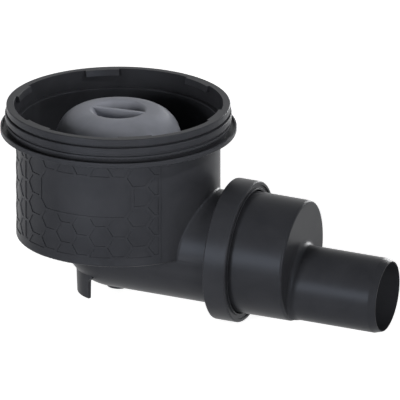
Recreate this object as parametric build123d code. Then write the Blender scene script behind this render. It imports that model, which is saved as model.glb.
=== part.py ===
"""Floor drain body with a lift-out bell trap and an eccentric outlet reducer.

The origin is the centre of the rim's top face. +Z points up along the pot's axis and
+X points along the outlet, which falls gently away from the pot. Sizes are millimetres.
"""
import os
from math import cos, degrees, hypot, radians, sin, sqrt, tan

from build123d import *

os.makedirs("parts", exist_ok=True)

# Small edges
fine_round = 0.4
soft_round = 0.7

# Pot
pot_r = 100.9  # plain outer wall
pot_wall = 3.2
pot_depth = 136.6  # rim top to the underside of the pot's floor
floor_wall = 3.5
hull_round = 2.5  # pot's lower edge, and the saddle between pot and channel
floor_round = 3.0

# Rim, from the top face down; radii are steps out from the pot's wall or the rim's face
rim_step = 10.0
rim_wall = 7.4
rim_draft = 0.5  # how far the rim's inner wall closes in towards the ledge
rim_round = 1.1
rim_band = 6.9  # height of the plain ring at the top
groove_deep = 2.5
bead_top = 8.7
bead_bottom = 14.6
bead_step = 1.3
bead_round = 0.9
waist_step = 1.6  # how far the waist under the bead lies inside the rim's face
ridge_top = 17.9
ridge_step = 0.3
ridge_bottom = 20.6
lip_step = 6.0
lip_wall = 2.0
lip_top = 22.7
lip_bottom = 27.9
flange_wall = 2.2
flange_root_round = 2.0
ledge_depth = 18.5

# Bayonet lugs inside the rim
lug_count = 6
lug_angle = 19.0
lug_height = 6.2
lug_reach = 2.7  # at the rim's top
lug_foot_reach = 4.3  # at the lug's lower edge, so that its face leans back

# Relief panels: raised skins on three quarters of the wall, with sunk hexagons
skin = 0.7
panel_centres = (-90, 180, 90)  # plan angles, in degrees
panel_half_angle = 45.0
field_half_angle = 43.75
field_top = 32.9  # depth of the hexagon field's upper edge
hex_pitch = 20.85
hex_web = 2.75
field_rows = 4.5
field_columns = 9
plate_half_width = 47.2
plate_flat_half_width = 40.9
plate_top = 45.2
plate_corner_top = 54.6
plate_corner_bottom = 75.8
plate_bottom = 84.3

# Outlet channel, a pipe that starts as a sphere on the pot's axis
outlet_depth = 132.7  # depth of the outlet's axis where it crosses the pot's axis
outlet_fall = 2.5  # degrees below horizontal
channel_r = 56.6
channel_wall = 3.5

# Collar on the channel's end, a socket for the reducer
collar_gap = 14.3  # from the pot's wall to the collar, along the outlet
collar_length = 23.8
collar_step = 10.1  # from the reducer's barrel out to the collar's outside
collar_lip = 3.4
collar_round = 1.2
mouth_round = 1.8  # outer edge at the collar's mouth
band_width = 2.1
band_raise = 0.6
band_groove = 0.8
socket_back_wall = 3.4
socket_fit = 0.5  # radial clearance round the reducer's barrel
gland_length = 12.5

# Seal and retaining ring in the collar
ring_recess = 0.2
ring_width = 2.2
ring_gap = 1.1  # between the ring and the reducer's barrel
ring_bead_width = 2.2
ring_bead_raise = 1.2
ring_leg_wall = 2.0
seal_width = 7.5
seal_foot = 2.0
seal_lip = 1.5

# Reducer
barrel_r = 60.7
barrel_draft = 0.3  # how much smaller the barrel is at its end wall
barrel_wall = 3.3
barrel_gap = 0.4  # end play against the socket's back wall
barrel_shows = 55.3  # from the collar's front to the barrel's end wall
shoulder_round = 2.8
spigot_inset = 0.8  # from the barrel's lowest line up to the spigot's
spigot_r = 37.5
spigot_wall = 3.1
spigot_length = 90.5
spigot_taper_length = 7.6
spigot_taper_r = 35.2
spigot_root_round = 6.0
root_taper = 0.2  # how much smaller the spigot is where it leaves the end wall
root_inset = 1.4  # how far the spigot's rounded foot stays inside the barrel's outline
lead_in = 1.0

# Foot and gate boss under the channel
foot_r = 42.2
foot_end_r = 41.2
foot_wall = 5.4
foot_end_wall = 3.8
foot_half_angle = 64.5
foot_depth = 195.4
foot_arch = 5.5
gate_r = 12.2
gate_raise = 2.4
gate_round = 2.2

# Seat for the trap's standpipe, on the roof of the channel
seat_r = 39.5
seat_wall = 4.0
seat_depth = 68.0

# Trap standpipe
pipe_bore_r = 33.0
pipe_wall = 2.6
overflow_depth = 22.0
plug_gap = 0.9  # radial gap between the plug and its seat
plug_depth = 90.0
stop_r = 46.0
stop_wall = 3.0
stop_root_round = 1.5
seal_groove_depth = 75.0
seal_groove_width = 6.0
seal_groove_deep = 2.4
lip_gap = 0.3  # between a seal's lip and what it bears on
lip_tip_round = 0.3

# Trap bell
bell_r = 61.75
bell_wall = 2.5
bell_crest_depth = 6.3
bell_crest_r = 31.8
bell_dome_height = 29.1
bell_depth = 72.0
bell_edge_round = 1.0
recess_r = 26.6
recess_floor_r = 20.5
recess_depth = 11.0
recess_round = 4.5  # at the crest
recess_floor_round = 4.0
recess_wall = 2.2
grip_width = 4.2
grip_round = 1.2
clip_count = 4
clip_width = 3.0
clip_inner_r = 29.5
clip_outer_r = 44.0
clip_length = 9.0
clip_gap = 0.25

overlap = 0.5  # how far joined forms run into each other
clear = 1.0  # how far a cut runs out past the material
tolerance = 0.01

fall = radians(outlet_fall)
outlet = Plane(
    origin=(0, 0, -outlet_depth),
    x_dir=(-sin(fall), 0, -cos(fall)),
    z_dir=(cos(fall), 0, -sin(fall)),
)
pot_bore_r = pot_r - pot_wall
rim_r = pot_r + rim_step
rim_inner_r = rim_r - rim_wall
rim_foot_inner_r = rim_inner_r - rim_draft
groove_r = rim_r - groove_deep
bead_r = rim_r + bead_step
waist_r = rim_r - waist_step
ridge_r = rim_r + ridge_step
lip_r = rim_r + lip_step
collar_back = pot_r + collar_gap  # distance along the outlet's axis, as are the next three
collar_front = collar_back + collar_length
shoulder_at = collar_front + barrel_shows
spigot_end = shoulder_at + spigot_length
channel_bore_r = channel_r - channel_wall
socket_bottom = collar_back + socket_back_wall
collar_r = barrel_r + collar_step
collar_bore_r = collar_r - collar_lip
ring_inner_r = barrel_r + ring_gap
barrel_end_r = barrel_r - barrel_draft
spigot_drop = barrel_end_r - spigot_r - spigot_inset
gland_bottom = collar_front - gland_length
pipe_r = pipe_bore_r + pipe_wall
plug_r = seat_r - plug_gap


def rounded(face, *corners):
    """The face with each corner, given as (across, up, radius), rounded."""
    for across, up, radius in corners:
        vertex = face.vertices().sort_by_distance(Vector(across, up, 0))[0]
        face = fillet(vertex, radius)
    return face


def outline(*corners):
    """Flat face from (across, up) corners, where a third number rounds that corner."""
    face = make_face(Polyline(*[corner[:2] for corner in corners], close=True))
    return rounded(face, *[corner for corner in corners if len(corner) == 3])


def turned(face, start=0.0, sweep=360.0):
    """Solid of revolution about Z of a face drawn as (radius, height)."""
    return Rot(0, 0, start) * revolve(Plane.XZ * face, Axis.Z, revolution_arc=sweep)


def tube(outer, inner, low, high):
    """Plain ring between two heights."""
    return turned(outline((inner, low), (outer, low), (outer, high), (inner, high)))


def rod(radius, low, high):
    """Plain cylinder on the Z axis between two heights."""
    return Pos(0, 0, low) * Cylinder(radius, high - low, align=(Align.CENTER, Align.CENTER, Align.MIN))


def pot_outside():
    """Outer form of pot and rim, filled."""
    trough = lip_bottom - flange_wall
    return turned(
        outline(
            (0, -pot_depth),
            (pot_r, -pot_depth),
            (pot_r, -lip_bottom, flange_root_round),
            (lip_r, -lip_bottom, soft_round),
            (lip_r, -lip_top, soft_round),
            (lip_r - lip_wall, -lip_top, fine_round),
            (lip_r - lip_wall, -trough, fine_round),
            (groove_r, -trough),
            (groove_r, -ridge_bottom),
            (ridge_r, -ridge_bottom, soft_round),
            (ridge_r, -ridge_top, fine_round),
            (waist_r, -ridge_top, fine_round),
            (waist_r, -bead_bottom, fine_round),
            (bead_r, -bead_bottom, fine_round),
            (bead_r, -bead_top, bead_round),
            (groove_r, -bead_top, fine_round),
            (groove_r, -rim_band, fine_round),
            (rim_r, -rim_band, soft_round),
            (rim_r, 0, rim_round),
            (0, 0),
        )
    )


def pot_inside():
    """Hollow of pot and rim, with the space above the rim."""
    return turned(
        outline(
            (0, floor_wall - pot_depth),
            (pot_bore_r, floor_wall - pot_depth, floor_round),
            (pot_bore_r, -ledge_depth, soft_round),
            (rim_foot_inner_r, -ledge_depth),
            (rim_inner_r, 0, fine_round),
            (rim_r, 0),
            (rim_r, clear),
            (0, clear),
        )
    )


def bayonet_lugs():
    """Six lugs that stand inward from the rim, flush with its top face."""
    section = outline(
        (rim_inner_r - lug_foot_reach, -lug_height, fine_round),
        (rim_inner_r + overlap, -lug_height),
        (rim_inner_r + overlap, 0),
        (rim_inner_r - lug_reach, 0, fine_round),
    )
    return [
        turned(section, i * 360 / lug_count - lug_angle / 2, lug_angle)
        for i in range(lug_count)
    ]


def raised_skin():
    """Skin on the three quarters of the wall away from the outlet."""
    root_r = pot_r - 2 * hull_round
    section = outline(
        (pot_r - overlap, floor_wall / 2 - pot_depth),
        (root_r, floor_wall / 2 - pot_depth),
        (root_r, -pot_depth),
        (pot_r + skin, -pot_depth, hull_round),
        (pot_r + skin, -lip_bottom + overlap),
        (pot_r - overlap, -lip_bottom + overlap),
    )
    return turned(section, panel_half_angle, 360 - 2 * panel_half_angle)


def plate_outline(margin=0.0):
    """Bare plate with cut corners, grown by a margin."""
    side = plate_half_width + margin
    flat = plate_flat_half_width + margin * tan(radians(30))
    top = margin - plate_top
    bottom = -plate_bottom - margin
    points = [
        (flat, top),
        (side, -plate_corner_top),
        (side, -plate_corner_bottom),
        (flat, bottom),
        (-flat, bottom),
        (-side, -plate_corner_bottom),
        (-side, -plate_corner_top),
        (-flat, top),
    ]
    return make_face(Polyline(*points, close=True))


def hexagon_field():
    """Flat honeycomb, clipped to the panel's field, as a sketch of (across, height)."""
    width = (pot_r + skin) * sin(radians(field_half_angle))
    height = field_rows * hex_pitch
    column_pitch = hex_pitch * sqrt(3) / 2
    field = Pos(0, -field_top - height / 2) * Rectangle(2 * width, height)
    cells = []
    for column in range(-(field_columns // 2), field_columns // 2 + 1):
        start = field_top + (column % 2) * hex_pitch / 2
        row = 0
        while start + row * hex_pitch < field_top + height + hex_pitch / 2:
            centre = Pos(column * column_pitch, -start - row * hex_pitch)
            cells.append(centre * RegularPolygon((hex_pitch - hex_web) / 2, 6, major_radius=False))
            row += 1
    return field & Sketch(children=cells)


def panel_pockets():
    """Sunk shapes of the three panels, each pulled straight out along its own centre."""
    shell = tube(pot_r + skin + clear, pot_r, -pot_depth, -lip_bottom)
    honeycomb = hexagon_field()
    plate = plate_outline()
    framed = (honeycomb - plate_outline(hex_web)) + plate
    pockets = []
    for angle, drawing in zip(panel_centres, (framed, honeycomb, honeycomb)):
        cutter = extrude(Plane.XZ * drawing, pot_r + skin + clear)
        pockets.append((Rot(0, 0, angle + 90) * cutter) & shell)
    return pockets


def channel_outside():
    """Outlet pipe with its round end, and the collar that ends it."""
    profile = outline(
        (0, 0),
        (channel_r, 0),
        (channel_r, collar_back - band_width - band_groove),
        (channel_r - band_raise, collar_back - band_width - band_groove),
        (channel_r - band_raise, collar_back - band_width),
        (channel_r + band_raise, collar_back - band_width, fine_round),
        (channel_r + band_raise, collar_back),
        (collar_r, collar_back, collar_round),
        (collar_r, collar_front, mouth_round),
        (0, collar_front),
    )
    return outlet * turned(profile)


def round_end(radius):
    """Ball on the pot's axis that ends the channel."""
    return Pos(0, 0, -outlet_depth) * Sphere(radius)


def channel_inside():
    """Hollow of the pipe and the socket, with the room for seal and ring."""
    bore = outline(
        (0, 0),
        (channel_bore_r, 0),
        (channel_bore_r, socket_bottom),
        (barrel_r + socket_fit, socket_bottom),
        (barrel_r + socket_fit, gland_bottom),
        (collar_bore_r, gland_bottom),
        (collar_bore_r, collar_front + clear),
        (0, collar_front + clear),
    )
    return [outlet * turned(bore), round_end(channel_bore_r)]


def foot():
    """Curved skirt under the round end, with a small arch at each of its ends."""
    sphere_meets = outlet_depth + sqrt(channel_r**2 - (foot_r - foot_wall / 2) ** 2)
    root = outlet_depth + sqrt(channel_r**2 - foot_r**2) - channel_wall
    arch_angle = degrees(foot_arch / foot_r)
    section = outline(
        (foot_end_r - foot_end_wall, -foot_depth, fine_round),
        (foot_end_r, -foot_depth, fine_round),
        (foot_r, -root),
        (foot_r - foot_wall, -root),
    )
    half = foot_half_angle + arch_angle
    skirt = turned(section, 180 - half, 2 * half)
    arch_axis_depth = sphere_meets + foot_arch
    for side in (-1, 1):
        drill = Rot(0, 90, 0) * Cylinder(foot_arch, 3 * foot_wall)
        slot = Box(3 * foot_wall, 2 * foot_arch, foot_depth, align=(Align.CENTER, Align.CENTER, Align.MAX))
        cut = Pos(foot_r, 0, -arch_axis_depth) * (drill + slot)
        skirt -= Rot(0, 0, 180 + side * half) * cut
    return skirt


def channel_roof():
    """Outer form of the channel where it crosses the pot, with the trap's seat on top."""
    seat_foot = outlet_depth - sqrt(channel_r**2 - seat_r**2)
    seat = rod(seat_r + seat_wall, -seat_foot - seat_wall, -seat_depth)
    return [channel_outside(), round_end(channel_r), seat]


def lower_edges(hull):
    """Edges round the pot's floor, and those where the channel leaves the pot's wall."""
    chosen = []
    for edge in hull.edges():
        middle = edge.position_at(0.5)
        local = outlet.to_local_coords(middle)
        on_floor = abs(middle.Z + pot_depth) < tolerance
        on_wall = abs(hypot(middle.X, middle.Y) - pot_r) < tolerance
        on_channel = abs(hypot(local.X, local.Y) - channel_r) < tolerance
        if on_floor or (on_wall and on_channel):
            chosen.append(edge)
    return chosen


def lower_hull():
    """Pot and channel, filled, with the saddle between them rounded."""
    hull = pot_outside() + channel_outside() + round_end(channel_r)
    return fillet(lower_edges(hull), hull_round)


def drain_body():
    """Pot, rim, channel, collar, foot and the trap's seat: one moulding."""
    gate_depth = outlet_depth + channel_r
    gate_section = outline(
        (0, -gate_depth - gate_raise),
        (gate_r, -gate_depth - gate_raise, gate_round),
        (gate_r, gate_raise - gate_depth),
        (0, gate_raise - gate_depth),
    )
    gate = turned(gate_section)
    body = lower_hull() + raised_skin() + foot() + gate
    body = body - (pot_inside() - channel_roof())
    body = body - channel_inside() - rod(seat_r, -outlet_depth, clear - seat_depth)
    return body + bayonet_lugs() - panel_pockets()


def standpipe():
    """Overflow pipe with a stop flange and a plug that fits the seat."""
    root = plug_r - seal_groove_deep
    groove_bottom = seal_groove_depth + seal_groove_width
    return turned(
        outline(
            (pipe_bore_r, -plug_depth),
            (plug_r, -plug_depth, lead_in),
            (plug_r, -groove_bottom),
            (root, -groove_bottom),
            (root, -seal_groove_depth),
            (plug_r, -seal_groove_depth),
            (plug_r, -seat_depth),
            (stop_r, -seat_depth, fine_round),
            (stop_r, stop_wall - seat_depth, soft_round),
            (pipe_r, stop_wall - seat_depth, stop_root_round),
            (pipe_r, -overflow_depth, fine_round),
            (pipe_bore_r, -overflow_depth, fine_round),
        )
    )


def standpipe_seal():
    """Rubber ring with two lips, in the groove of the standpipe's plug."""
    root = plug_r - seal_groove_deep
    top = -seal_groove_depth
    bottom = -seal_groove_depth - seal_groove_width
    tip = seat_r - lip_gap
    valley = plug_r - lip_gap
    lip_height = seal_groove_width / 4
    return turned(
        outline(
            (root, bottom),
            (valley, bottom),
            (tip, bottom + lip_height, lip_tip_round),
            (valley, bottom + 2 * lip_height),
            (tip, top - lip_height, lip_tip_round),
            (valley, top),
            (root, top),
        )
    )


def bell_section():
    """Section of the bell's shell: dished recess, flat crest, domed side and skirt."""
    crest = -bell_crest_depth
    dome_foot = crest - bell_dome_height
    dish = crest - recess_depth
    under = crest - bell_wall
    side_width = bell_r - bell_crest_r
    centre = (bell_crest_r, dome_foot)
    outer_arc = EllipticalCenterArc(centre, side_width, bell_dome_height, 0, arc_size=90)
    inner_arc = EllipticalCenterArc(
        centre, side_width - bell_wall, bell_dome_height - bell_wall, 0, arc_size=90
    )
    dish_line = Polyline((0, dish), (recess_floor_r, dish), (recess_r, crest), (bell_crest_r, crest))
    skirt_line = Polyline(
        (bell_r, dome_foot),
        (bell_r, -bell_depth),
        (bell_r - bell_wall, -bell_depth),
        (bell_r - bell_wall, dome_foot),
    )
    under_line = Polyline(
        (bell_crest_r, under),
        (recess_r + recess_wall, under),
        (recess_floor_r + recess_wall, dish - recess_wall),
        (0, dish - recess_wall),
        (0, dish),
    )
    face = make_face(Curve() + [dish_line, outer_arc, skirt_line, inner_arc, under_line])
    return rounded(
        face,
        (recess_floor_r, dish, recess_floor_round),
        (recess_r, crest, recess_round),
        (bell_r, -bell_depth, bell_edge_round),
        (bell_r - bell_wall, -bell_depth, bell_edge_round),
    )


def bell_grip():
    """Bar across the recess, flush with the crest."""
    crest = -bell_crest_depth
    low = crest - recess_depth - recess_wall / 2
    half = grip_width / 2
    section = outline((-half, low), (half, low), (half, crest, grip_round), (-half, crest, grip_round))
    reach = recess_r + clear
    bar = extrude(Plane.YZ * section, reach, both=True)
    return bar & rod(reach, low, crest)


def bell_core():
    """Space under the bell's dome, with half the thickness of its wall."""
    roof = -bell_crest_depth - bell_wall / 2
    dome_foot = -bell_crest_depth - bell_dome_height
    side = bell_r - bell_crest_r - bell_wall / 2
    arc = EllipticalCenterArc((bell_crest_r, dome_foot), side, roof - dome_foot, 0, arc_size=90)
    rest = Polyline(arc @ 1, (0, roof), (0, dome_foot), arc @ 0)
    return turned(make_face(Curve() + [arc, rest]))


def bell_clips():
    """Ribs under the dome that sit on the standpipe's edge and straddle its wall."""
    low = -overflow_depth - clip_length
    roof = -bell_crest_depth
    core = bell_core()
    notch = tube(pipe_r + clip_gap, pipe_bore_r - clip_gap, low - clear, -overflow_depth)
    rib = Box(
        clip_outer_r - clip_inner_r,
        clip_width,
        roof - low,
        align=(Align.MIN, Align.CENTER, Align.MIN),
    )
    ribs = []
    for i in range(clip_count):
        angle = (i + 0.5) * 360 / clip_count
        placed = Rot(0, 0, angle) * Pos(clip_inner_r, 0, low) * rib
        ribs.append((placed & core) - notch)
    return ribs


def trap_bell():
    """Domed bell with a dished recess and a grip bar across it."""
    return turned(bell_section()) + bell_grip() + bell_clips()


def outlet_seal():
    """Lip ring in the collar's gland, bearing on the reducer's barrel."""
    foot_r = collar_bore_r - seal_foot
    tip = barrel_r + lip_gap
    return outlet * turned(
        outline(
            (collar_bore_r, gland_bottom),
            (collar_bore_r, gland_bottom + seal_width),
            (foot_r, gland_bottom + seal_width, fine_round),
            (foot_r, gland_bottom + 2 * seal_lip, soft_round),
            (tip, gland_bottom + seal_lip, lip_tip_round),
            (tip, gland_bottom, lip_tip_round),
        )
    )


def retaining_ring():
    """Ring snapped into the collar's mouth, which keeps the seal in place."""
    front = collar_front - ring_recess
    back = gland_bottom + seal_width
    step = front - ring_bead_raise
    step_r = ring_inner_r + ring_bead_width
    leg_r = collar_bore_r - ring_leg_wall
    return outlet * turned(
        outline(
            (collar_bore_r, back),
            (collar_bore_r, step),
            (step_r, step),
            (step_r, front, fine_round),
            (ring_inner_r, front, soft_round),
            (ring_inner_r, step - ring_width, fine_round),
            (leg_r, step - ring_width),
            (leg_r, back),
        )
    )


def spigot_root():
    """Rounded foot of the spigot on the end wall, kept inside the barrel's outline."""
    leg = spigot_root_round + tolerance
    root_end = shoulder_at + leg
    low = shoulder_at - shoulder_round
    root = turned(
        outline(
            (spigot_r - overlap, low),
            (spigot_r + leg, low),
            (spigot_r + leg, shoulder_at),
            (spigot_r, shoulder_at, spigot_root_round),
            (spigot_r, root_end),
            (spigot_r - overlap, root_end),
        )
    )
    keep = rod(barrel_end_r - root_inset, low, root_end)
    return Pos(spigot_drop, 0, 0) * root & keep


def outlet_reducer():
    """Barrel for the socket, end wall, and the smaller spigot set low in it."""
    start = socket_bottom + barrel_gap
    root_end = shoulder_at + spigot_root_round + tolerance
    barrel = turned(
        outline(
            (0, start),
            (barrel_r - lead_in, start),
            (barrel_r, start + 2 * lead_in),
            (barrel_r, collar_front),
            (barrel_end_r, shoulder_at, shoulder_round),
            (0, shoulder_at),
        )
    )
    spigot = turned(
        outline(
            (0, shoulder_at - barrel_wall),
            (spigot_r - root_taper, shoulder_at - barrel_wall),
            (spigot_r, root_end),
            (spigot_r, spigot_end - spigot_taper_length),
            (spigot_taper_r, spigot_end, fine_round),
            (0, spigot_end),
        )
    )
    outer = barrel + Pos(spigot_drop, 0, 0) * spigot + spigot_root()
    inner = rod(barrel_r - barrel_wall, start - clear, shoulder_at - barrel_wall)
    behind = shoulder_at - 2 * barrel_wall
    bore = Pos(spigot_drop, 0, 0) * rod(spigot_r - spigot_wall, behind, spigot_end + clear)
    return outlet * (outer - inner - bore)


def main():
    nodes = {
        "drain_body": drain_body,
        "trap_standpipe": standpipe,
        "standpipe_seal": standpipe_seal,
        "trap_bell": trap_bell,
        "outlet_seal": outlet_seal,
        "seal_retaining_ring": retaining_ring,
        "outlet_reducer": outlet_reducer,
    }
    for name, make in nodes.items():
        export_step(make(), f"parts/{name}.step")


main()
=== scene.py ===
"""Finishes, floor, lamps and camera for a floor drain body with a lift-out bell trap."""
import math

import bpy
from bpy.props import FloatProperty, FloatVectorProperty, PointerProperty
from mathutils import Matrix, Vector


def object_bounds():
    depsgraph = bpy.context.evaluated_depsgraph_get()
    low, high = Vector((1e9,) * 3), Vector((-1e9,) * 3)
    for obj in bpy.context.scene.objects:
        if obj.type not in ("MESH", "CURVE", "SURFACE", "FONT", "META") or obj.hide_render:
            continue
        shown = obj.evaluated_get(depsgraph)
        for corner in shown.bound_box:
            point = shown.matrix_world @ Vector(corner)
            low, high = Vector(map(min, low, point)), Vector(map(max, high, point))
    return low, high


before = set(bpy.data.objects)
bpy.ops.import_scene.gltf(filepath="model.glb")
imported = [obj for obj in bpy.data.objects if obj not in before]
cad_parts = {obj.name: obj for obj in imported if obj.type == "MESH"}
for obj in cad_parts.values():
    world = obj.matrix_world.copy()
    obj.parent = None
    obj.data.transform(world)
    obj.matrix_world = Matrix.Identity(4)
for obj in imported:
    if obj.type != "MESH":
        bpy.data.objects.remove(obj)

CAD_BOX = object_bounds()

bl_info = {
    "name": "Floor Drain Studio",
    "version": (1, 0, 0),
    "blender": (4, 5, 0),
    "location": "3D View > Sidebar > Drain",
    "description": "Moulded plastic and rubber finishes for a floor drain body, and its studio",
    "category": "Material",
}

# Moulded plastic. A tone is a factor and an addition to each part of the plastic's colour.
PLASTIC_IOR = 1.49
PLASTIC_GLOSS = 0.08
GLOSS_TINT = (0.72, 0.82, 1.0, 1.0)
GRAIN_DETAIL = 3.0
GRAIN_CONTRAST = 0.6
SPECKS_PER_GRAIN = 0.35
SPECK_SHARE = 0.35
GRAIN_STRENGTH = 0.35
FLOW_MARK_SCALE = 22.0
FLOW_MARK_DETAIL = 4.0
FLOW_MARK_CONTRAST = 0.55
FLOW_MARK_SWIRL = 0.6
FLOW_MARK_RANGE = (0.3, 0.7)
FLOW_MARK_ROUGHNESS = 0.035
PALE_TONE = (1.16, 0.001)
DARK_TONE = (0.88, 0.0)
# Paler edges: partly rubbed wear, partly a painted highlight where rounded edges catch light.
RUBBED_AND_HIGHLIT_TONE = (1.5, 0.006)
EDGE_RANGE = (0.52, 0.6)
EDGE_WEAR_AND_HIGHLIGHT = 0.5

# Rubber.
RUBBER_IOR = 1.52
BLOOM_SCALE = 90.0
BLOOM_DETAIL = 5.0
BLOOM_CONTRAST = 0.6
BLOOM_RANGE = (0.45, 0.75)
BLOOM_PALENESS = 1.9
RUBBER_GRAIN_SCALE = 2200.0
RUBBER_GRAIN_DETAIL = 2.0
RUBBER_GRAIN_DEPTH = 0.00002
RUBBER_GRAIN_STRENGTH = 0.4

# Floor and sky.
FLOOR_MIDDLE = (0.1, 0.0)
FLOOR_SIZE = 14.0
FLOOR_CUTS = 3
FLOOR_COLOUR = (0.8, 0.8, 0.8, 1.0)
FLOOR_GLOW = (0.84, 0.96)
FLOOR_GLOW_RANGE = (0.3, 1.2)
SKY_FADE_HEIGHT = 0.8
WHITE = (1.0, 1.0, 1.0, 1.0)

# Name, place, width, height and power setting of each lamp that looks at the object.
SOFT_LAMPS = (
    ("front_lamp", (-0.5, -2.1, 0.22), 0.5, 0.85, "front_power"),
    ("side_lamp", (1.6, -1.3, 0.1), 0.9, 0.8, "side_power"),
    ("rear_lamp", (0.3, 2.1, 0.1), 0.9, 0.8, "rear_power"),
)
# Name, place, aim, width of the beam at its aim, and power setting of each spot lamp.
SPOT_LAMPS = (
    ("high_lamp", (1.5, 0.0, 1.35), (0.0, 0.0, -0.01), 0.32, "high_power"),
    ("bounce_lamp", (-0.1, -1.3, 1.2), (-0.05, -0.8, CAD_BOX[0].z), 0.9, "bounce_power"),
)
SPOT_SOFTNESS = 0.1
SPOT_BLEND = 0.5

# Camera.
SENSOR_WIDTH = 36.0
NEAR_CLIP = 0.1
FAR_CLIP = 60.0


class MouldedPlasticSettings(bpy.types.PropertyGroup):
    """Colours and grain of the moulded plastic."""

    body_colour: FloatVectorProperty(
        name="Body colour",
        description="Colour of the pot, the reducer, the standpipe and the ring",
        subtype="COLOR",
        size=3,
        min=0.0,
        max=1.0,
        default=(0.0272, 0.028, 0.0318),
    )
    bell_colour: FloatVectorProperty(
        name="Bell colour",
        description="Colour of the trap's bell",
        subtype="COLOR",
        size=3,
        min=0.0,
        max=1.0,
        default=(0.217, 0.225, 0.254),
    )
    body_roughness: FloatProperty(
        name="Body roughness",
        description="How blurred reflections on the body are",
        min=0.0,
        max=1.0,
        default=0.37,
    )
    bell_roughness: FloatProperty(
        name="Bell roughness",
        description="How blurred reflections on the bell are",
        min=0.0,
        max=1.0,
        default=0.45,
    )
    grain_size: FloatProperty(
        name="Grain size",
        description="Width of the spark-eroded grain that the mould leaves",
        unit="LENGTH",
        min=0.0001,
        default=0.0007,
    )
    grain_depth: FloatProperty(
        name="Grain depth",
        description="Depth of that grain",
        unit="LENGTH",
        min=0.0,
        default=0.00002,
    )


class RubberSettings(bpy.types.PropertyGroup):
    """Colour and finish of the seals."""

    colour: FloatVectorProperty(
        name="Rubber colour",
        description="Colour of both seals",
        subtype="COLOR",
        size=3,
        min=0.0,
        max=1.0,
        default=(0.012, 0.012, 0.013),
    )
    roughness: FloatProperty(
        name="Rubber roughness",
        description="How blurred reflections on the seals are",
        min=0.0,
        max=1.0,
        default=0.62,
    )


class StudioSettings(bpy.types.PropertyGroup):
    """Sky, lamps and camera."""

    azimuth: FloatProperty(
        name="Azimuth",
        description="Camera's turn from the front towards the outlet",
        subtype="ANGLE",
        default=math.radians(20.65),
    )
    elevation: FloatProperty(
        name="Elevation",
        description="Camera's height above the horizon",
        subtype="ANGLE",
        default=math.radians(19.56),
    )
    camera_distance: FloatProperty(
        name="Camera distance",
        description="Distance from the camera to what it looks at",
        unit="LENGTH",
        min=1.0,
        default=16.6,
    )
    frame_width: FloatProperty(
        name="Frame width",
        description="Width that the picture covers at the object",
        unit="LENGTH",
        min=0.1,
        default=0.3952,
    )
    frame_right: FloatProperty(
        name="Frame right",
        description="How far the picture's centre lies right of the rim's centre",
        unit="LENGTH",
        default=0.0806,
    )
    frame_down: FloatProperty(
        name="Frame down",
        description="How far the picture's centre lies below the rim's centre",
        unit="LENGTH",
        default=0.0959,
    )
    sky_high: FloatProperty(
        name="Sky overhead",
        description="Light that falls on the object from overhead",
        min=0.0,
        default=0.05,
    )
    sky_low: FloatProperty(
        name="Sky at the horizon",
        description="Light that falls on the object from the sides",
        min=0.0,
        default=0.175,
    )
    front_power: FloatProperty(
        name="Front lamp",
        description="Power of the low lamp at the front left",
        unit="POWER",
        min=0.0,
        default=30.0,
    )
    side_power: FloatProperty(
        name="Side lamp",
        description="Power of the weaker lamp at the front right",
        unit="POWER",
        min=0.0,
        default=18.0,
    )
    rear_power: FloatProperty(
        name="Rear lamp",
        description="Power of the lamp behind the object",
        unit="POWER",
        min=0.0,
        default=24.0,
    )
    high_power: FloatProperty(
        name="High lamp",
        description="Power of the high spot lamp that shines into the pot from the right",
        unit="POWER",
        min=0.0,
        default=92.0,
    )
    bounce_power: FloatProperty(
        name="Bounce lamp",
        description="Power of the spot lamp that shines on the floor in front",
        unit="POWER",
        min=0.0,
        default=160.0,
    )


def new_material(name):
    """Empty node material, and the surface socket of its output."""
    material = bpy.data.materials.new(name)
    material.use_nodes = True
    nodes = material.node_tree.nodes
    nodes.clear()
    out = nodes.new("ShaderNodeOutputMaterial")
    return material, out.inputs["Surface"]


def make(tree, kind, settings=None, **inputs):
    """Node of a kind with its settings and inputs.

    An input is a value or a socket to join. _0 is the first input, and Base_Color is Base Color.
    """
    node = tree.nodes.new(kind)
    for name, value in (settings or {}).items():
        setattr(node, name, value)
    for name, value in inputs.items():
        numbered = name[0] == "_" and name[1:].isdigit()
        key = int(name[1:]) if numbered else name.replace("_", " ")
        if isinstance(value, bpy.types.NodeSocket):
            tree.links.new(value, node.inputs[key])
        else:
            node.inputs[key].default_value = value
    return node


def blend_colours(tree, factor, first, second):
    """Colour between two, by a factor socket."""
    mix = make(tree, "ShaderNodeMix", {"data_type": "RGBA"})
    tree.links.new(factor, mix.inputs["Factor"])
    for key, value in (("A", first), ("B", second)):
        socket = [s for s in mix.inputs if s.name == key and s.type == "RGBA"][0]
        if isinstance(value, bpy.types.NodeSocket):
            tree.links.new(value, socket)
        else:
            socket.default_value = (*value, 1.0)
    return [s for s in mix.outputs if s.type == "RGBA"][0]


def arithmetic(tree, operation, *values):
    """Result of a math node."""
    inputs = {f"_{place}": value for place, value in enumerate(values)}
    return make(tree, "ShaderNodeMath", {"operation": operation}, **inputs).outputs[0]


def spread(tree, value, source, target):
    """A value mapped from one range to another."""
    node = make(
        tree,
        "ShaderNodeMapRange",
        {"clamp": True},
        Value=value,
        From_Min=source[0],
        From_Max=source[1],
        To_Min=target[0],
        To_Max=target[1],
    )
    return node.outputs["Result"]


def tone_of(colour, tone):
    """A colour's paler or darker tone."""
    factor, addition = tone
    return tuple(min(1.0, factor * part + addition) for part in colour)


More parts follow.
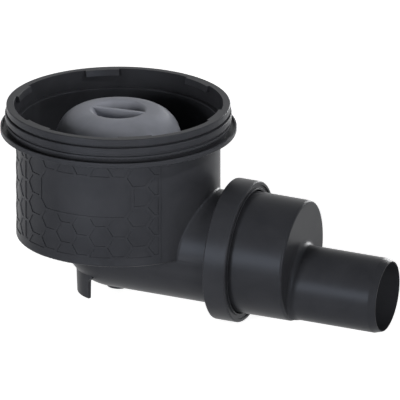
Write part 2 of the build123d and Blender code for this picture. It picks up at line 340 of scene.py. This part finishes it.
def moulded_plastic(name, colour, roughness, settings):
    """Satin moulded plastic: eroded grain, cloudy flow marks, and paler edges that are partly
    rubbed wear and partly a painted highlight.
    """
    material, surface = new_material(name)
    tree = material.node_tree
    place = make(tree, "ShaderNodeTexCoord").outputs["Object"]
    grain = make(
        tree,
        "ShaderNodeTexNoise",
        Vector=place,
        Scale=1 / settings.grain_size,
        Detail=GRAIN_DETAIL,
        Roughness=GRAIN_CONTRAST,
    )
    specks = make(
        tree,
        "ShaderNodeTexVoronoi",
        Vector=place,
        Scale=SPECKS_PER_GRAIN / settings.grain_size,
    )
    clouds = make(
        tree,
        "ShaderNodeTexNoise",
        Vector=place,
        Scale=FLOW_MARK_SCALE,
        Detail=FLOW_MARK_DETAIL,
        Roughness=FLOW_MARK_CONTRAST,
        Distortion=FLOW_MARK_SWIRL,
    ).outputs["Fac"]
    cloudy = spread(tree, clouds, FLOW_MARK_RANGE, (0.0, 1.0))
    tone = blend_colours(tree, cloudy, tone_of(colour, DARK_TONE), tone_of(colour, PALE_TONE))
    # Edges made paler by pointiness: partly rubbed wear, partly a painted highlight.
    edges = make(tree, "ShaderNodeNewGeometry").outputs["Pointiness"]
    worn_and_highlit = spread(tree, edges, EDGE_RANGE, (0.0, EDGE_WEAR_AND_HIGHLIGHT))
    tone = blend_colours(tree, worn_and_highlit, tone, tone_of(colour, RUBBED_AND_HIGHLIT_TONE))
    smoothest = roughness - FLOW_MARK_ROUGHNESS
    roughest = roughness + FLOW_MARK_ROUGHNESS
    rough = spread(tree, clouds, FLOW_MARK_RANGE, (smoothest, roughest))
    distance = specks.outputs["Distance"]
    height = arithmetic(tree, "MULTIPLY_ADD", distance, SPECK_SHARE, grain.outputs["Fac"])
    bump = make(
        tree,
        "ShaderNodeBump",
        Strength=GRAIN_STRENGTH,
        Distance=settings.grain_depth,
        Height=height,
    )
    shader = make(
        tree,
        "ShaderNodeBsdfPrincipled",
        Base_Color=tone,
        Roughness=rough,
        Normal=bump.outputs["Normal"],
        IOR=PLASTIC_IOR,
        Specular_IOR_Level=PLASTIC_GLOSS,
        Specular_Tint=GLOSS_TINT,
    )
    tree.links.new(shader.outputs["BSDF"], surface)
    return material


def seal_rubber(name, settings):
    """Black moulded rubber with a faint bloom."""
    material, surface = new_material(name)
    tree = material.node_tree
    place = make(tree, "ShaderNodeTexCoord").outputs["Object"]
    bloom = make(
        tree,
        "ShaderNodeTexNoise",
        Vector=place,
        Scale=BLOOM_SCALE,
        Detail=BLOOM_DETAIL,
        Roughness=BLOOM_CONTRAST,
    )
    grain = make(
        tree,
        "ShaderNodeTexNoise",
        Vector=place,
        Scale=RUBBER_GRAIN_SCALE,
        Detail=RUBBER_GRAIN_DETAIL,
    )
    patches = spread(tree, bloom.outputs["Fac"], BLOOM_RANGE, (0.0, 1.0))
    dusty = tone_of(settings.colour, (BLOOM_PALENESS, 0.0))
    tone = blend_colours(tree, patches, tuple(settings.colour), dusty)
    bump = make(
        tree,
        "ShaderNodeBump",
        Strength=RUBBER_GRAIN_STRENGTH,
        Distance=RUBBER_GRAIN_DEPTH,
        Height=grain.outputs["Fac"],
    )
    shader = make(
        tree,
        "ShaderNodeBsdfPrincipled",
        Base_Color=tone,
        Roughness=settings.roughness,
        Normal=bump.outputs["Normal"],
        IOR=RUBBER_IOR,
    )
    tree.links.new(shader.outputs["BSDF"], surface)
    return material


def finish_nodes(material, slot, *names):
    """Gives CAD nodes a finish."""
    for name in names:
        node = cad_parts[name]
        if not node.material_slots:
            node.data.materials.append(material)
        for place in node.material_slots:
            place.material = material


class DRAIN_OT_body_finish(bpy.types.Operator):
    """Dark moulded plastic on the pot, the reducer and the retaining ring"""

    bl_idname = "drain.body_finish"
    bl_label = "Body Finish"

    def execute(self, context):
        settings = context.scene.drain_plastic
        colour, roughness = tuple(settings.body_colour), settings.body_roughness
        dark = moulded_plastic("anthracite_plastic", colour, roughness, settings)
        finish_nodes(dark, "body_plastic", "drain_body", "outlet_reducer", "seal_retaining_ring")
        return {"FINISHED"}


class DRAIN_OT_trap_finish(bpy.types.Operator):
    """Grey moulded plastic on the bell and dark plastic on its standpipe"""

    bl_idname = "drain.trap_finish"
    bl_label = "Trap Finish"

    def execute(self, context):
        settings = context.scene.drain_plastic
        colour, roughness = tuple(settings.bell_colour), settings.bell_roughness
        grey = moulded_plastic("grey_plastic", colour, roughness, settings)
        finish_nodes(grey, "bell_plastic", "trap_bell")
        colour, roughness = tuple(settings.body_colour), settings.body_roughness
        dark = moulded_plastic("standpipe_plastic", colour, roughness, settings)
        finish_nodes(dark, "body_plastic", "trap_standpipe")
        return {"FINISHED"}


class DRAIN_OT_seal_finish(bpy.types.Operator):
    """Black rubber on both seals"""

    bl_idname = "drain.seal_finish"
    bl_label = "Seal Finish"

    def execute(self, context):
        rubber = seal_rubber("seal_rubber", context.scene.drain_rubber)
        finish_nodes(rubber, "seal_rubber", "standpipe_seal", "outlet_seal")
        return {"FINISHED"}


def white_where_seen(tree):
    """Factor that is 1 for what the camera, gloss and glass see, and 0 for plain lighting."""
    path = make(tree, "ShaderNodeLightPath").outputs
    seen = arithmetic(tree, "MAXIMUM", path["Is Camera Ray"], path["Is Glossy Ray"])
    return arithmetic(tree, "MAXIMUM", seen, path["Is Transmission Ray"])


def studio_sky(context, settings):
    """Grey light that fades towards the zenith, seen as white."""
    world = bpy.data.worlds.new("studio_sky")
    context.scene.world = world
    world.use_nodes = True
    tree = world.node_tree
    tree.nodes.clear()
    out = make(tree, "ShaderNodeOutputWorld")
    direction = make(tree, "ShaderNodeTexCoord").outputs["Generated"]
    height = make(tree, "ShaderNodeSeparateXYZ", Vector=direction).outputs["Z"]
    light = spread(tree, height, (0.0, SKY_FADE_HEIGHT), (settings.sky_low, settings.sky_high))
    strength = arithmetic(tree, "MAXIMUM", light, white_where_seen(tree))
    sky = make(tree, "ShaderNodeBackground", Color=WHITE, Strength=strength)
    tree.links.new(sky.outputs["Background"], out.inputs["Surface"])


def pale_floor(height):
    """White floor that takes a soft shadow, and is open to a camera below it."""
    bpy.ops.object.select_all(action="DESELECT")
    bpy.ops.mesh.primitive_plane_add(size=1.0, location=(*FLOOR_MIDDLE, height))
    floor = bpy.context.object
    floor.name = "studio_floor"
    bpy.ops.object.mode_set(mode="EDIT")
    bpy.ops.mesh.select_all(action="SELECT")
    bpy.ops.transform.resize(value=(FLOOR_SIZE, FLOOR_SIZE, 1.0))
    bpy.ops.mesh.subdivide(number_cuts=FLOOR_CUTS)
    bpy.ops.object.mode_set(mode="OBJECT")
    material, surface = new_material("pale_floor")
    tree = material.node_tree
    matt = make(tree, "ShaderNodeBsdfDiffuse", Color=FLOOR_COLOUR)
    place = make(tree, "ShaderNodeTexCoord").outputs["Object"]
    away = make(tree, "ShaderNodeVectorMath", {"operation": "LENGTH"}, _0=place).outputs["Value"]
    lift = spread(tree, away, FLOOR_GLOW_RANGE, FLOOR_GLOW)
    strength = arithmetic(tree, "MULTIPLY", lift, white_where_seen(tree))
    glow = make(tree, "ShaderNodeEmission", Color=WHITE, Strength=strength)
    lit = make(tree, "ShaderNodeAddShader", _0=matt.outputs[0], _1=glow.outputs[0])
    below = make(tree, "ShaderNodeNewGeometry").outputs["Backfacing"]
    clear = make(tree, "ShaderNodeBsdfTransparent")
    both = make(tree, "ShaderNodeMixShader", _0=below, _1=lit.outputs[0], _2=clear.outputs[0])
    tree.links.new(both.outputs[0], surface)
    floor.data.materials.append(material)


def soft_lamp(name, place, aim, width, height, power):
    """Rectangular lamp that looks at a point."""
    bpy.ops.object.light_add(type="AREA", location=place)
    lamp = bpy.context.object
    lamp.name = name
    lamp.data.shape = "RECTANGLE"
    lamp.data.size = width
    lamp.data.size_y = height
    lamp.data.energy = power
    way = Vector(aim) - Vector(place)
    lamp.rotation_euler = way.to_track_quat("-Z", "Y").to_euler()
    lamp.visible_camera = False


def spot_lamp(name, place, aim, width, power):
    """Beam with a soft edge, as wide as given where it lands."""
    bpy.ops.object.light_add(type="SPOT", location=place)
    lamp = bpy.context.object
    lamp.name = name
    lamp.data.energy = power
    way = Vector(aim) - Vector(place)
    lamp.data.shadow_soft_size = SPOT_SOFTNESS
    lamp.data.spot_size = 2 * math.atan(width / 2 / way.length)
    lamp.data.spot_blend = SPOT_BLEND
    lamp.rotation_euler = way.to_track_quat("-Z", "Y").to_euler()


def long_lens_camera(context, settings):
    """Camera far away behind a long lens, so the picture is almost without perspective."""
    a, e = settings.azimuth, settings.elevation
    right = Vector((math.cos(a), math.sin(a), 0.0))
    up = Vector((-math.sin(a) * math.sin(e), math.cos(a) * math.sin(e), math.cos(e)))
    back = right.cross(up)
    aim = right * settings.frame_right - up * settings.frame_down
    bpy.ops.object.camera_add(location=aim + back * settings.camera_distance)
    camera = bpy.context.object
    camera.name = "picture_camera"
    camera.rotation_euler = back.to_track_quat("Z", "Y").to_euler()
    camera.data.sensor_width = SENSOR_WIDTH
    camera.data.lens = SENSOR_WIDTH * settings.camera_distance / settings.frame_width
    camera.data.clip_start = NEAR_CLIP
    camera.data.clip_end = FAR_CLIP
    context.scene.camera = camera


class DRAIN_OT_stage(bpy.types.Operator):
    """Floor, sky, lamps and camera"""

    bl_idname = "drain.stage"
    bl_label = "Stage"

    def execute(self, context):
        settings = context.scene.drain_studio
        pale_floor(CAD_BOX[0].z)
        studio_sky(context, settings)
        middle = (CAD_BOX[0] + CAD_BOX[1]) / 2
        for name, place, width, height, power in SOFT_LAMPS:
            soft_lamp(name, place, middle, width, height, getattr(settings, power))
        for name, place, aim, width, power in SPOT_LAMPS:
            spot_lamp(name, place, aim, width, getattr(settings, power))
        long_lens_camera(context, settings)
        context.scene.view_settings.view_transform = "Standard"
        return {"FINISHED"}


class DRAIN_PT_panel(bpy.types.Panel):
    """Lists the drain's finishes and its stage"""

    bl_label = "Drain"
    bl_idname = "DRAIN_PT_panel"
    bl_space_type = "VIEW_3D"
    bl_region_type = "UI"
    bl_category = "Drain"

    def draw(self, context):
        for group in (
            context.scene.drain_plastic,
            context.scene.drain_rubber,
            context.scene.drain_studio,
        ):
            box = self.layout.box()
            for name in group.__annotations__:
                box.prop(group, name)
        for operator in OPERATORS:
            self.layout.operator(operator.bl_idname)


OPERATORS = (
    DRAIN_OT_body_finish,
    DRAIN_OT_trap_finish,
    DRAIN_OT_seal_finish,
    DRAIN_OT_stage,
)
CLASSES = (
    MouldedPlasticSettings,
    RubberSettings,
    StudioSettings,
    *OPERATORS,
    DRAIN_PT_panel,
)


def register():
    for each in CLASSES:
        bpy.utils.register_class(each)
    bpy.types.Scene.drain_plastic = PointerProperty(type=MouldedPlasticSettings)
    bpy.types.Scene.drain_rubber = PointerProperty(type=RubberSettings)
    bpy.types.Scene.drain_studio = PointerProperty(type=StudioSettings)


def unregister():
    del bpy.types.Scene.drain_studio
    del bpy.types.Scene.drain_rubber
    del bpy.types.Scene.drain_plastic
    for each in reversed(CLASSES):
        bpy.utils.unregister_class(each)


def main():
    """Makes everything in order."""
    register()
    bpy.ops.drain.body_finish()
    bpy.ops.drain.trap_finish()
    bpy.ops.drain.seal_finish()
    bpy.ops.drain.stage()


if __name__ == "__main__":
    main()
